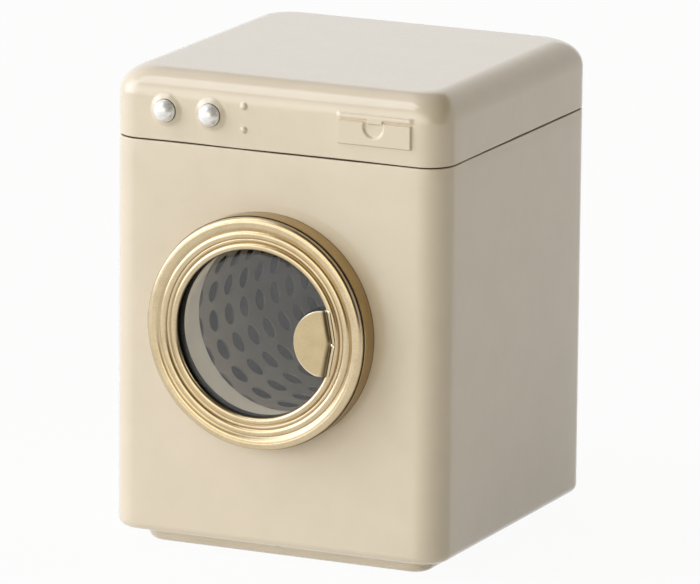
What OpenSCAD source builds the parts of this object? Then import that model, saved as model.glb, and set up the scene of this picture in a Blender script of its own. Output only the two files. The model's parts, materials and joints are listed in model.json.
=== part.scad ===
/* [Cabinet] */
// Width of the cabinet, side to side
body_w = 89.5; // [84:0.1:110]
// Depth of the cabinet, front wall to back wall
body_d = 89.5; // [84:0.1:110]
// Height from the floor to the top of the cover
body_h = 120; // [116:0.1:150]
// Thickness of the tin sheet
sheet = 0.8; // [0.6:0.05:1]
// Radius of the upright corners, seen from above
corner_r = 7.3; // [6:0.1:9]
// Radius of the curled edge under the walls
curl_r = 2.3; // [1.6:0.1:3]

/* [Plinth] */
// Height of the plinth below the walls
plinth_h = 3.9; // [3:0.1:8]
// How far the plinth is set in from the walls
plinth_inset = 6.2; // [5:0.1:9]
// Radius of the plinth's lower edge
plinth_edge_r = 2.3; // [1.5:0.1:2.6]
// Radius of the plinth's upright corners
plinth_corner_r = 5.3; // [4:0.1:7]

/* [Cover] */
// Height of the cover, from the seam to the top
cover_h = 17.3; // [16:0.1:24]
// Radius of the cover's upper edge
cover_edge_r = 6.9; // [5:0.1:7.5]
// Open height of the seam
seam_gap = 0.4; // [0.2:0.05:0.6]
// How far the neck rim reaches up into the cover
neck_up = 3.4; // [2:0.1:4]
// How far the neck rim reaches down the walls
neck_down = 9; // [5:0.1:10]
// Thickness of the neck rim
neck_t = 0.6; // [0.4:0.05:0.8]

/* [Control panel] */
// Height of the knobs' axes below the top
knob_drop = 9.5; // [9:0.1:10.5]
// Place of the left knob, from the middle
knob_left_x = -29.3; // [-32:0.1:-28]
// Place of the right knob, from the middle
knob_right_x = -17.3; // [-19:0.1:-16.5]
// Radius of a knob's dome
knob_r = 2.85; // [2.5:0.05:3.2]
// Height of a knob's dome
knob_h = 2.6; // [1.8:0.05:2.8]
// Radius of a knob's stem
knob_stem_r = 0.9; // [0.7:0.05:1.1]
// Radius of the round boss under a knob, at the panel
boss_r = 4.3; // [4:0.1:4.8]
// Radius of that boss at its top
boss_top_r = 3.4; // [3.3:0.1:3.8]
// Height of the stamped shapes on the panel
stamp_h = 0.8; // [0.4:0.05:1]
// Radius of a raised dot
dot_r = 0.9; // [0.6:0.05:1.2]
// Place of the two raised dots, from the middle
dot_x = -8.4; // [-10:0.1:-7]
// Distance between the two raised dots
dot_pitch = 5.8; // [4:0.1:6.5]
// Left edge of the drawer front
drawer_x = 17; // [14:0.1:18]
// Width of the drawer front
drawer_w = 19.1; // [17:0.1:20]
// Height of the drawer front
drawer_h = 6.4; // [6.2:0.1:7]
// Upper edge of the drawer front, below the top
drawer_drop = 6.6; // [6.5:0.1:7.5]
// Radius of the finger recess in the drawer front
recess_r = 3; // [2:0.1:3.2]

/* [Porthole] */
// Place of the porthole's axis, from the middle
door_x = -1.9; // [-4:0.1:4]
// Distance of the porthole's axis below the seam
door_drop = 43.8; // [43:0.1:52]
// Outer radius of the collar and of the door
ring_r = 28.9; // [28.4:0.1:31]
// Radius of the window
window_r = 20.9; // [19:0.1:21.2]
// Depth of the fixed collar
collar_depth = 5.2; // [4.6:0.1:5.5]
// Open gap between the collar and the door
door_gap = 0.4; // [0.35:0.05:0.8]
// Thickness of the door ring
ring_t = 1.9; // [1.7:0.1:2.4]
// How far the sleeve's inner face lies outside the window's edge
sleeve_out = 1.7; // [1.4:0.1:2]
// Thickness of the sleeve
sleeve_t = 0.55; // [0.4:0.05:0.6]
// Thickness of the window
glass_t = 1.2; // [0.8:0.1:1.2]
// Thickness of the window's gasket
seal_t = 0.3; // [0.2:0.05:0.4]
// Depth of the retainer behind the window
retainer_depth = 2.4; // [1.5:0.1:2.6]

/* [Handle] */
// Radius of the half-moon grip
grip_r = 8.4; // [7:0.1:9]
// Width of the grip's fold, from its straight edge to the window's edge
fold_w = 1.8; // [1.4:0.1:3]
// How far the grip's middle lies below the door's axis
grip_drop = 0.4; // [0:0.1:2]
// Thickness of the grip's sheet
grip_t = 0.7; // [0.5:0.05:0.9]
// How far the grip stands in front of the ring
grip_proud = 0.4; // [0.2:0.05:0.8]

/* [Hinge and catch] */
// Distance of the hinge pin from the front wall
pin_out = 2.3; // [2.2:0.05:2.35]
// Radius of the hinge pin
pin_r = 0.65; // [0.5:0.05:0.8]
// Outer radius of the hinge knuckles
knuckle_r = 1.3; // [1.2:0.05:1.35]
// Length of the middle knuckle
knuckle_h = 4; // [3:0.1:5]
// Radius of the catch magnet
magnet_r = 1.4; // [1:0.1:1.8]
// Length of the catch magnet
magnet_h = 2.5; // [1.5:0.1:3]

/* [Drum] */
// Thickness of the drum's wall
drum_t = 0.5; // [0.4:0.05:0.8]
// Distance of the drum's front edge from the front wall
drum_setback = 4.9; // [4:0.1:6]
// Length of sleeve inside the drum
drum_lap = 4.1; // [3:0.1:5]
// Radius of the holes
hole_r = 2.75; // [2:0.05:3]
// Holes in one ring around the drum
hole_count = 20; // [16:2:20]
// Distance between rings of holes
hole_pitch = 8.7; // [7.5:0.1:10]
// Turn of the first row of holes
hole_turn = 7; // [0:0.5:18]
// Radius of the drum's shaft
shaft_r = 1.5; // [1.2:0.05:2]
// Radius of the drum's hub
hub_r = 5; // [4:0.1:7]
// Thickness of the drum's hub
hub_t = 1.6; // [1:0.1:2]
// Depth of the bearing plate, from the back wall to its middle
bearing_h = 4.9; // [4.5:0.1:6]
// Radius of the bearing plate's raised middle
bearing_r = 9; // [7:0.1:11]
// Outer radius of the shaft's bush
bush_r = 2.8; // [2.4:0.1:3.2]

/* [Fits] */
// Gap all round a part that turns on a pin or a shaft
running = 0.05; // [0.02:0.01:0.08]
// Gap between parts that pass each other
passing = 0.35; // [0.3:0.05:0.35]

/* [Hidden] */
$fn = 96;

cream = [0.85, 0.80, 0.70];
gold = [0.78, 0.67, 0.45];
steel = [0.62, 0.62, 0.60];
chrome = [0.80, 0.80, 0.79];
black = [0.10, 0.10, 0.10];

// Walls and floors
front_y = -body_d / 2;
back_in_y = body_d / 2 - sheet;
seam_z = body_h - cover_h;
wall_top_z = seam_z - seam_gap / 2;
cover_foot_z = seam_z + seam_gap / 2;

// Plinth and the opening that it hangs in
pan_w = body_w - 2 * plinth_inset;
pan_d = body_d - 2 * plinth_inset;
pan_slack = 0.2;
curl_clear = 0.7;
plinth_flange = plinth_inset - curl_r - curl_clear;
flange_z = plinth_h + sheet;
rivet_r = 0.8;
rivet_head_r = 1.3;
rivet_head_h = 0.5;
rivet_inset = plinth_inset - plinth_flange / 2 - pan_slack / 2;

// Knobs, dots and drawer on the panel
knob_z = body_h - knob_drop;
panel_y = front_y - stamp_h;
clip_t = 0.6;
clip_r = boss_top_r - 1;
drawer_top_z = body_h - drawer_drop;
groove_h = 0.7;
band_h = 1.1;
band_left = 0.5;
band_right = 1.4;
band_dip = 0.95;
tab_w = 4;
tab_shift = 0.15;
tab_x = drawer_x + drawer_w / 2 + tab_shift;
recess_drop = 1.8;

// Door, from the front wall outwards
collar_y = front_y - collar_depth;
ring_y = collar_y - door_gap;
lip_t = 1.1;
rebate = ring_t - lip_t;
glass_y = ring_y - rebate + seal_t + glass_t;
door_z = seam_z - door_drop;
pocket_r = window_r + 1.1;
sleeve_r = window_r + sleeve_out;
collar_r = sleeve_r + sleeve_t + running;
retainer_r = sleeve_r - passing;
band_r = collar_r - passing;
band_t = 0.6;
ring_seal_w = 2;
ring_seal_out = 0.15;
ring_seal_t = 0.3;
grip_x = window_r - fold_w;
grip_y = ring_y - ring_t - grip_proud;
fold_drop = 0.75;
ball_r = 0.45;
ball_out = 0.35;
backing_t = 0.6;
backing_out = 0.45;
sleeve_front = 2.2;
sleeve_flange_r = collar_r + 4.2;

// Hinge at the left edge of the door
pin_x = door_x - ring_r;
pin_y = front_y - pin_out;
notch_w = ring_r - collar_r - 1.8;
leaf_t = 0.7;
leaf_reach = notch_w - 0.5;
knuckle_gap = 0.1;
hinge_h = 3 * knuckle_h + 2 * knuckle_gap;

// Catch, in the middle of the collar's width
magnet_x = door_x + (collar_r + ring_r) / 2;
catch_t = 0.3;

// Drum, from its bearing forwards
plate_y = back_in_y - bearing_h;
bush_flange_t = 0.8;
bush_flange_r = bush_r + 1.4;
drum_play = 0.3;
hub_y = plate_y - bush_flange_t - drum_play;
drum_end_y = hub_y - hub_t;
drum_start_y = front_y + drum_setback;
drum_r = sleeve_r + sleeve_t + passing;
hoop_w = 0.8;
hole_start = 4.9;
hole_margin = 3.5;
first_hole_y = drum_start_y + hole_start;
hole_cols = floor((drum_end_y - hole_margin - first_hole_y) / hole_pitch) + 1;
back_t = 0.8;
head_r = 3.2;
bush_tail = 1.5;
shaft_tail = 0.5;
bush_end_y = plate_y + sheet + bush_tail;
shaft_end_y = bush_end_y + drum_play + clip_t + shaft_tail;

// A rectangle with round corners
module rounded_plan(w, d, r) {
    square([w - 2 * r, d], center = true);
    square([w, d - 2 * r], center = true);
    for (sx = [-1, 1], sy = [-1, 1])
        translate([sx * (w / 2 - r), sy * (d / 2 - r)])
            circle(r);
}

// Carries a wall's section round a rounded rectangle; its zero lies over the corners' centres
module around(w, d, r) {
    for (side = [0 : 3]) {
        out = (side % 2 == 0 ? w : d) / 2 - r;
        run = (side % 2 == 0 ? d : w) - 2 * r;
        rotate([0, 0, 90 * side]) translate([out, run / 2, 0]) {
            rotate([90, 0, 0]) linear_extrude(run) children();
            rotate_extrude(angle = 90) children();
        }
    }
}

// Section of a wall of thickness t and outer radius r, with a curled edge of radius e at its foot
// and a strip that runs on into the floor or flange
module curled_wall(r, e, t, height) {
    translate([r - t, e]) square([t, height - e]);
    translate([r - e - t, 0]) square([t, t]);
    intersection() {
        translate([r - e, e]) difference() {
            circle(e);
            circle(e - t);
        }
        translate([r - e, 0]) square(e);
    }
}

// Turns a part that is drawn upwards so that it points to the front, on the porthole's axis
module on_door(y) {
    translate([door_x, y, door_z]) rotate([90, 0, 0]) children();
}

// Turns a part that is drawn upwards so that it points to the back, on the porthole's axis
module on_drum(y) {
    translate([door_x, y, door_z]) rotate([-90, 0, 0]) children();
}

// A plain tube
module tube(r_in, r_out, h) {
    difference() {
        cylinder(r = r_out, h = h);
        translate([0, 0, -h]) cylinder(r = r_in, h = 3 * h);
    }
}

module body_shell() {
    color(cream) difference() {
        union() {
            translate([0, 0, plinth_h]) {
                around(body_w, body_d, corner_r)
                    curled_wall(corner_r, curl_r, sheet, wall_top_z - plinth_h);
                linear_extrude(sheet) difference() {
                    rounded_plan(body_w - 2 * curl_r, body_d - 2 * curl_r, corner_r - curl_r);
                    rounded_plan(pan_w + 2 * pan_slack, pan_d + 2 * pan_slack,
                        plinth_corner_r + pan_slack);
                }
            }
        }
        on_door(front_y + 2 * sheet) cylinder(r = collar_r, h = 3 * sheet);
        rivet_places() translate([0, 0, plinth_h - sheet]) cylinder(r = rivet_r, h = 3 * sheet);
    }
}

// A band inside the walls, with a lip in the seam and a guide inside the cover
module neck_rim() {
    inner_r = corner_r - sheet;
    color(steel) translate([0, 0, seam_z])
        around(body_w, body_d, corner_r) {
            union() {
                translate([inner_r - neck_t, -neck_down]) square([neck_t, neck_down]);
                translate([inner_r - neck_t - passing, -seam_gap / 2])
                    square([neck_t + passing + sheet * 0.4, seam_gap]);
                translate([inner_r - neck_t - passing, 0]) square([neck_t, neck_up]);
            }
        }
}

module base_pan() {
    color(cream) difference() {
        union() {
            around(pan_w, pan_d, plinth_corner_r)
                curled_wall(plinth_corner_r, plinth_edge_r, sheet, flange_z + sheet);
            linear_extrude(sheet)
                rounded_plan(pan_w - 2 * plinth_edge_r, pan_d - 2 * plinth_edge_r,
                    plinth_corner_r - plinth_edge_r);
            translate([0, 0, flange_z]) linear_extrude(sheet) difference() {
                rounded_plan(pan_w + 2 * plinth_flange, pan_d + 2 * plinth_flange,
                    plinth_corner_r + plinth_flange - sheet);
                rounded_plan(pan_w - sheet, pan_d - sheet, plinth_corner_r - sheet / 2);
            }
        }
        rivet_places() translate([0, 0, plinth_h]) cylinder(r = rivet_r, h = 3 * sheet);
    }
}

// One place on each side of the plinth's flange, half way along
module rivet_places() {
    for (sx = [-1, 1]) translate([sx * (body_w / 2 - rivet_inset), 0, 0]) children();
    for (sy = [-1, 1]) translate([0, sy * (body_d / 2 - rivet_inset), 0]) children();
}

module base_rivets() {
    color(steel) rivet_places() {
        translate([0, 0, plinth_h - rivet_head_h]) cylinder(r = rivet_head_r, h = rivet_head_h);
        translate([0, 0, plinth_h - rivet_head_h / 2])
            cylinder(r = rivet_r, h = 2 * sheet + rivet_head_h);
        translate([0, 0, plinth_h + 2 * sheet]) cylinder(r = rivet_head_r, h = rivet_head_h);
    }
}

module door_collar() {
    edge = 0.5;
    color(gold) difference() {
        on_door(front_y) rotate_extrude() {
            translate([collar_r, 0]) square([ring_r - collar_r, collar_depth - edge]);
            translate([collar_r, 0]) square([ring_r - collar_r - edge, collar_depth]);
            translate([ring_r - edge, collar_depth - edge]) circle(edge);
        }
        translate([pin_x - 2 * knuckle_r, collar_y - 1, door_z - hinge_h / 2 - passing])
            cube([notch_w + 2 * knuckle_r, collar_depth + 2, hinge_h + 2 * passing]);
        translate([magnet_x, collar_y + magnet_h, door_z]) rotate([90, 0, 0])
            cylinder(r = magnet_r, h = 2 * magnet_h);
    }
}

// Tube from the door to the drum, with a flange behind the front wall
module mouth_sleeve() {
    length = drum_setback + drum_lap + collar_depth - sleeve_front;
    flange_at = collar_depth - sleeve_front + sheet;
    color(cream) on_drum(collar_y + sleeve_front) {
        tube(sleeve_r, sleeve_r + sleeve_t, length);
        translate([0, 0, flange_at]) tube(sleeve_r + sleeve_t / 2, sleeve_flange_r, sheet);
    }
}

module hinge_bracket() {
    web = pin_out - leaf_t / 2;
    color(gold) difference() {
        translate([pin_x, 0, door_z]) {
            translate([-knuckle_r, front_y - leaf_t, -hinge_h / 2])
                cube([knuckle_r + leaf_reach, leaf_t, hinge_h]);
            for (s = [-1, 1]) {
                middle = s * (knuckle_h + knuckle_gap);
                translate([0, pin_y, middle]) cylinder(r = knuckle_r, h = knuckle_h, center = true);
                translate([-knuckle_r, pin_y, middle - knuckle_h / 2])
                    cube([2 * knuckle_r, web, knuckle_h]);
            }
        }
        translate([pin_x, pin_y, door_z]) cylinder(r = pin_r, h = 2 * hinge_h, center = true);
    }
}

module hinge_pin() {
    color(steel) translate([pin_x, pin_y, door_z]) cylinder(r = pin_r, h = hinge_h, center = true);
}

// The door's knuckle, with a tongue that lies behind the ring
module hinge_leaf() {
    reach = pin_out - collar_depth - door_gap;
    color(gold) translate([pin_x, pin_y, door_z - knuckle_h / 2]) difference() {
        union() {
            cylinder(r = knuckle_r, h = knuckle_h);
            translate([-knuckle_r / 2, reach, 0]) cube([knuckle_r * 1.5, -reach, knuckle_h]);
            translate([-knuckle_r / 2, reach, 0])
                cube([leaf_reach + knuckle_r / 2, leaf_t, knuckle_h]);
        }
        translate([0, 0, -1]) cylinder(r = pin_r + running, h = knuckle_h + 2);
    }
}

module catch_magnet() {
    color(steel) translate([magnet_x, collar_y + magnet_h, door_z]) rotate([90, 0, 0])
        cylinder(r = magnet_r, h = magnet_h);
}

module catch_plate() {
    color(steel) translate([magnet_x, ring_y + catch_t, door_z]) rotate([90, 0, 0])
        cylinder(r = magnet_r + 0.5, h = catch_t);
}

// The door's ring: a flat band outside, then two round beads, with rebates for its seals behind
module door_ring() {
    round_r = 0.8;
    bead_r = 0.9;
    bead_out = 3.75;
    bead_at = window_r + bead_out;
    lip_bead_r = 1.05;
    lip_face = ring_t - 0.6;
    color(gold) on_door(ring_y) rotate_extrude() difference() {
        union() {
            translate([window_r, 0]) square([ring_r - window_r - round_r, ring_t - bead_r]);
            translate([window_r, 0]) square([lip_bead_r, lip_face]);
            translate([bead_at + bead_r, 0])
                square([ring_r - bead_at - bead_r - round_r, ring_t]);
            translate([ring_r - 2 * round_r, 0]) square([2 * round_r, ring_t - round_r]);
            translate([ring_r - round_r, ring_t - round_r]) circle(round_r);
            translate([bead_at, ring_t - bead_r]) circle(bead_r);
            intersection() {
                translate([window_r + lip_bead_r + 0.1, ring_t - lip_bead_r]) circle(lip_bead_r);
                translate([window_r, 0]) square([3 * lip_bead_r, ring_t]);
            }
        }
        translate([window_r - 1, -1]) square([pocket_r - window_r + 1, rebate + 1]);
        translate([ring_r - ring_seal_w, -1]) square([ring_seal_w + 1, ring_seal_t + 1]);
    }
}

// A black ring let into the back of the door ring, showing as a thin line round its edge
module ring_seal() {
    color(black) on_door(ring_y) tube(ring_r - ring_seal_w, ring_r + ring_seal_out, ring_seal_t);
}

module window_seal() {
    color(black) on_door(ring_y - rebate + seal_t) tube(window_r + 0.2, pocket_r - 0.2, seal_t);
}

module door_glass() {
    color([0.75, 0.78, 0.78, 0.35]) on_door(glass_y) cylinder(r = pocket_r - 0.2, h = glass_t);
}

// A ring glued round the glass, with a tube behind it
module glass_retainer() {
    rim_h = glass_y + band_t - ring_y;
    color(black) union() {
        on_door(ring_y + rim_h) tube(pocket_r, band_r, rim_h);
        on_door(glass_y + band_t) tube(window_r + 0.1, band_r, band_t);
        on_door(glass_y + retainer_depth) tube(window_r + 0.1, retainer_r, retainer_depth);
    }
}

// A half-moon plate, folded back along its straight edge to meet the ring
module door_handle() {
    color(gold) on_door(grip_y + grip_t) {
        intersection() {
            translate([grip_x, -grip_drop, 0]) cylinder(r = grip_r, h = grip_t);
            translate([grip_x - 2 * grip_r, -2 * grip_r, -1])
                cube([2 * grip_r, 4 * grip_r, grip_t + 2]);
        }
        intersection() {
            grip_fold();
            translate([0, 0, -2 * ring_t]) cylinder(r = window_r, h = 4 * ring_t);
        }
    }
}

// The slanting strip from the grip's straight edge to beyond the ring, drawn from the grip's back
module grip_fold() {
    translate([grip_x, -grip_drop + grip_r, 0]) rotate([90, 0, 0])
        linear_extrude(2 * grip_r) polygon([
            [0, 0], [0, grip_t],
            [2 * fold_w, grip_t - 2 * fold_drop], [2 * fold_w, -2 * fold_drop]
        ]);
}

// The dark half-moon behind the window
module handle_backing() {
    color(black) on_door(glass_y + backing_t) intersection() {
        translate([grip_x, -grip_drop, 0]) cylinder(r = grip_r + backing_out, h = backing_t);
        cylinder(r = window_r, h = backing_t);
    }
}

// A ball where the grip's fold meets the ring
module handle_rivet() {
    color(gold) difference() {
        on_door(ring_y - ring_t) translate([window_r + ball_out, -grip_drop, ball_out - ball_r])
            sphere(r = ball_r, $fn = 48);
        door_ring();
        door_handle();
    }
}

module bearing_plate() {
    flange_w = 6;
    flange_r = bearing_r + flange_w;
    color(steel) on_drum(plate_y) difference() {
        union() {
            cylinder(r = bearing_r, h = bearing_h);
            translate([0, 0, bearing_h - sheet]) cylinder(r = flange_r, h = sheet);
        }
        translate([0, 0, sheet]) cylinder(r = bearing_r - sheet, h = bearing_h);
        translate([0, 0, -1]) cylinder(r = bush_r, h = bearing_h);
    }
}

module shaft_bush() {
    color(gold) on_drum(plate_y - bush_flange_t) difference() {
        union() {
            cylinder(r = bush_flange_r, h = bush_flange_t);
            cylinder(r = bush_r, h = bush_end_y - plate_y + bush_flange_t);
        }
        translate([0, 0, -1]) cylinder(r = shaft_r + running, h = bearing_h + 2);
    }
}

module drum_wall() {
    length = drum_end_y - drum_start_y;
    color(steel) on_drum(drum_start_y) difference() {
        tube(drum_r, drum_r + drum_t, length);
        for (col = [0 : hole_cols - 1], row = [0 : hole_count - 1])
            translate([0, 0, first_hole_y - drum_start_y + col * hole_pitch])
                rotate([0, 90, hole_turn + row * 360 / hole_count])
                    translate([0, 0, drum_r - drum_t])
                        cylinder(r = hole_r, h = 3 * drum_t, $fn = 20);
    }
}

module drum_hoop() {
    color(steel) on_drum(drum_start_y) tube(drum_r + drum_t, drum_r + drum_t + hoop_w, hoop_w);
}

module drum_back() {
    color(steel) on_drum(drum_end_y - back_t) tube(shaft_r, drum_r, back_t);
}

module drum_hub() {
    color(steel) on_drum(drum_end_y) tube(shaft_r, hub_r, hub_t);
}

// The shaft, with its riveted head inside the drum
module drum_shaft() {
    head_h = 1;
    start_y = drum_end_y - back_t;
    color(steel) {
        on_drum(start_y) cylinder(r = shaft_r, h = shaft_end_y - start_y);
        on_drum(start_y - head_h) cylinder(r1 = head_r - head_h, r2 = head_r, h = head_h);
    }
}

module shaft_clip() {
    color(chrome) on_drum(bush_end_y + drum_play) tube(shaft_r, shaft_r + 1.3, clip_t);
}

// A dome with the cover's rounded upper edge, set in by s all round
module cover_form(s, foot_z) {
    corner_loss = 0.12;
    edge = cover_edge_r - s;
    hull() {
        translate([0, 0, foot_z]) linear_extrude(1)
            rounded_plan(body_w - 2 * s, body_d - 2 * s, corner_r - s, $fn = 40);
        for (a = [0 : 15 : 90]) {
            inset = s + edge * (1 - cos(a));
            translate([0, 0, body_h - cover_edge_r + edge * sin(a) - 0.01]) linear_extrude(0.01)
                rounded_plan(body_w - 2 * inset, body_d - 2 * inset,
                    corner_r - s - corner_loss * (inset - s), $fn = 40);
        }
    }
}

// The round shapes that are stamped forwards in the panel
module round_stampings() {
    for (x = [knob_left_x, knob_right_x])
        translate([x, front_y, knob_z]) rotate([90, 0, 0])
            cylinder(r1 = boss_r, r2 = boss_top_r, h = stamp_h);
    for (s = [-1, 1])
        translate([dot_x, front_y, knob_z + s * dot_pitch / 2])
            sphere(r = dot_r, $fn = 48);
}

// The drawer front with its border band, less the finger recess and the groove between them
module drawer_outline() {
    difference() {
        union() {
            translate([drawer_x, -drawer_h]) square([drawer_w, drawer_h]);
            translate([drawer_x - band_left, 0])
                square([drawer_w + band_left + band_right, band_h]);
        }
        translate([tab_x, 0]) intersection() {
            translate([0, -recess_drop]) circle(recess_r);
            translate([-recess_r, -drawer_h]) square([2 * recess_r, drawer_h]);
        }
        translate([drawer_x - band_left, -groove_h])
            square([drawer_w + band_left + band_right, groove_h]);
    }
    translate([tab_x - tab_w / 2, -band_dip]) square([tab_w, band_h]);
}

module top_cover() {
    below = 1;
    hollow_w = drawer_w / 2 - tab_shift - recess_r - 2 * sheet;
    hollow_h = drawer_h - groove_h - 2 * sheet;
    color(cream) difference() {
        union() {
            cover_form(0, cover_foot_z);
            round_stampings();
            translate([0, front_y, drawer_top_z]) rotate([90, 0, 0]) linear_extrude(stamp_h)
                drawer_outline();
        }
        cover_form(sheet, cover_foot_z - below);
        translate([0, sheet, 0]) intersection() {
            round_stampings();
            translate([-body_w / 2, front_y - body_d, 0]) cube([body_w, body_d, body_h]);
        }
        for (x = [drawer_x + sheet, tab_x + recess_r + sheet])
            translate([x, panel_y + sheet, drawer_top_z - drawer_h + sheet])
                cube([hollow_w, sheet, hollow_h]);
        for (x = [knob_left_x, knob_right_x])
            translate([x, front_y + sheet, knob_z]) rotate([90, 0, 0])
                cylinder(r = knob_stem_r + running, h = 4 * sheet);
    }
}

// A domed knob on a stem, seated on its boss
module knob(x) {
    dome_r = (knob_r * knob_r + knob_h * knob_h) / (2 * knob_h);
    color(chrome) translate([x, panel_y - running, knob_z]) rotate([90, 0, 0]) {
        intersection() {
            translate([0, 0, knob_h - dome_r]) sphere(r = dome_r);
            cylinder(r = 2 * knob_r, h = knob_h);
        }
        translate([0, 0, -sheet - running - clip_t - 0.6])
            cylinder(r = knob_stem_r, h = sheet + clip_t + 1);
    }
}

module knob_clip(x) {
    color(steel) translate([x, panel_y + sheet + 2 * running, knob_z]) rotate([-90, 0, 0])
        tube(knob_stem_r, clip_r, clip_t);
}

module knob_left() { knob(knob_left_x); }
module knob_right() { knob(knob_right_x); }
module knob_left_clip() { knob_clip(knob_left_x); }
module knob_right_clip() { knob_clip(knob_right_x); }

body_shell();
neck_rim();
base_pan();
base_rivets();
door_collar();
mouth_sleeve();
hinge_bracket();
hinge_pin();
catch_magnet();
bearing_plate();
shaft_bush();
drum_wall();
drum_hoop();
drum_back();
drum_hub();
drum_shaft();
shaft_clip();
top_cover();
knob_left();
knob_left_clip();
knob_right();
knob_right_clip();
door_ring();
ring_seal();
window_seal();
door_glass();
glass_retainer();
door_handle();
handle_backing();
handle_rivet();
hinge_leaf();
catch_plate();
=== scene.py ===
import json
import math

import bmesh
import bpy
import numpy as np
from mathutils import Matrix, Vector


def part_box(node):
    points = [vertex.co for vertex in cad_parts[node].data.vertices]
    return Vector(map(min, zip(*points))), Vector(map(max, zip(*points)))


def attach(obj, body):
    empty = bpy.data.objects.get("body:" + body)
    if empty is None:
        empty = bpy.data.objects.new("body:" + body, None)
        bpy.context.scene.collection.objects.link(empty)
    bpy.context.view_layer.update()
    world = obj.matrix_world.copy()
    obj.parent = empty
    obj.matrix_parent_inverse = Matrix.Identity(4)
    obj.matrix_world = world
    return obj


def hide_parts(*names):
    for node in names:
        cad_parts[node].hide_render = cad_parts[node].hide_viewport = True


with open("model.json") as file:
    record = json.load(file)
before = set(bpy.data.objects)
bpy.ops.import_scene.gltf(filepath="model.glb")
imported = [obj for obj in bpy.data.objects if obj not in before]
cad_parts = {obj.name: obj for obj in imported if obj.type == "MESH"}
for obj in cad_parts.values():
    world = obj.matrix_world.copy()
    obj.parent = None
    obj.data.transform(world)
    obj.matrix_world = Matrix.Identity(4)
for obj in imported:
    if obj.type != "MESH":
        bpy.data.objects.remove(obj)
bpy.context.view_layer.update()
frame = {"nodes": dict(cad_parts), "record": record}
mm = 0.001

# camera, at the photograph's view
cameraSet = {
    "place": (0.842213, -1.812505, 0.521153),
    "right": (0.905940, 0.423299, 0.009538),
    "up": (-0.103801, 0.200201, 0.974241),
    "forward": (-0.410486, 0.883593, -0.225309),
    "lens": 425.39,
    "sensor": 36,
    "shift": (-0.0030, 0.0),
    "farEnd": 20,
}


def makeCamera():
    s = cameraSet
    data = bpy.data.cameras.new("camera")
    data.lens = s["lens"]
    data.sensor_width = s["sensor"]
    data.shift_x, data.shift_y = s["shift"]
    data.clip_end = s["farEnd"]
    camera = bpy.data.objects.new("camera", data)
    bpy.context.scene.collection.objects.link(camera)
    axes = (s["right"], s["up"], [-v for v in s["forward"]])
    turn = Matrix(axes).transposed().to_4x4()
    camera.matrix_world = Matrix.Translation(s["place"]) @ turn
    bpy.context.scene.camera = camera


makeCamera()
print("camera ready")


# places read from the frame, in millimetres
def nodeBox(node):
    low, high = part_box(node)
    return np.array(low) / mm, np.array(high) / mm


shellLow, shellHigh = nodeBox("body_shell")
coverLow, coverHigh = nodeBox("top_cover")
ringLow, ringHigh = nodeBox("door_ring")
drumLow, drumHigh = nodeBox("drum_wall")
knobMiddles = [sum(nodeBox(node)) / 2 for node in ("knob_left", "knob_right")]
bodyWidth, bodyDepth = shellHigh[0] - shellLow[0], shellHigh[1] - shellLow[1]
frontY = shellLow[1]
doorX = (ringLow[0] + ringHigh[0]) / 2
doorZ = (ringLow[2] + ringHigh[2]) / 2
ringR = (ringHigh[2] - ringLow[2]) / 2
ringBackY = ringHigh[1]
sheet = 0.8  # the tin's thickness
poleR = 0.02  # radius left open at the middle of a turned shape
middleShare = 0.004  # the same for the cover's top and the plinth's floor, as a share of their outline


# mesh tools: every shape below is a grid of points worked out as whole arrays
def gridFaces(rows, columns, wrapRows=False, wrapColumns=False):
    # four corners of each cell, with the last row or column joined to the first where it wraps
    i = np.arange(rows if wrapRows else rows - 1)
    j = np.arange(columns if wrapColumns else columns - 1)
    i, j = np.meshgrid(i, j, indexing="ij")
    down, over = (i + 1) % rows, (j + 1) % columns
    cells = [i * columns + j, i * columns + over, down * columns + over, down * columns + j]
    return np.stack(cells, -1).reshape(-1, 4)


def makePiece(name, node, body, slot, points, faces, sharp, finish=None, second=None):
    # edges over sharp degrees stay crisp; the finish is the slot's where none is given, and second is
    # another finish with a mask of the faces that have it
    mesh = bpy.data.meshes.new(name)
    mesh.from_pydata((np.asarray(points).reshape(-1, 3) * mm).tolist(), [], faces.tolist())
    mesh.materials.append(finish or finishes[slot])
    if second:
        mesh.materials.append(second[0])
        mesh.polygons.foreach_set("material_index", second[1].astype(np.int32))
    work = bmesh.new()
    work.from_mesh(mesh)
    bmesh.ops.remove_doubles(work, verts=work.verts, dist=0.002 * mm)
    bmesh.ops.recalc_face_normals(work, faces=work.faces)
    work.to_mesh(mesh)
    work.free()
    mesh.shade_smooth()
    mesh.set_sharp_from_angle(angle=math.radians(sharp))
    piece = bpy.data.objects.new(name, mesh)
    bpy.context.scene.collection.objects.link(piece)
    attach(piece, body)
    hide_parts(node)
    return piece


def line(start, end, count):
    # start * (1 - t) + end * t, for count values of t from 0 to 1
    t = np.linspace(0, 1, count)[:, None]
    return np.array(start) * (1 - t) + np.array(end) * t


def arc(x, y, radius, start, end, count):
    # x + radius * cos(a), y + radius * sin(a), for angles a from start to end in degrees
    a = np.radians(np.linspace(start, end, count))
    return np.stack([x + radius * np.cos(a), y + radius * np.sin(a)], -1)


def ellipse(shape, top, count):
    # as arc, but wide and deep differ and the crest lies at height top; shape is the middle's radius,
    # the half width, the depth and two angles in degrees
    x, wide, deep, start, end = shape
    a = np.radians(np.linspace(start, end, count))
    return np.stack([x + wide * np.cos(a), top - deep + deep * np.sin(a)], -1)


def smooth(x):
    # 0 below 0, 1 above 1, and x * x * (3 - 2 * x) between
    x = np.clip(x, 0, 1)
    return x * x * (3 - 2 * x)


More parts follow.
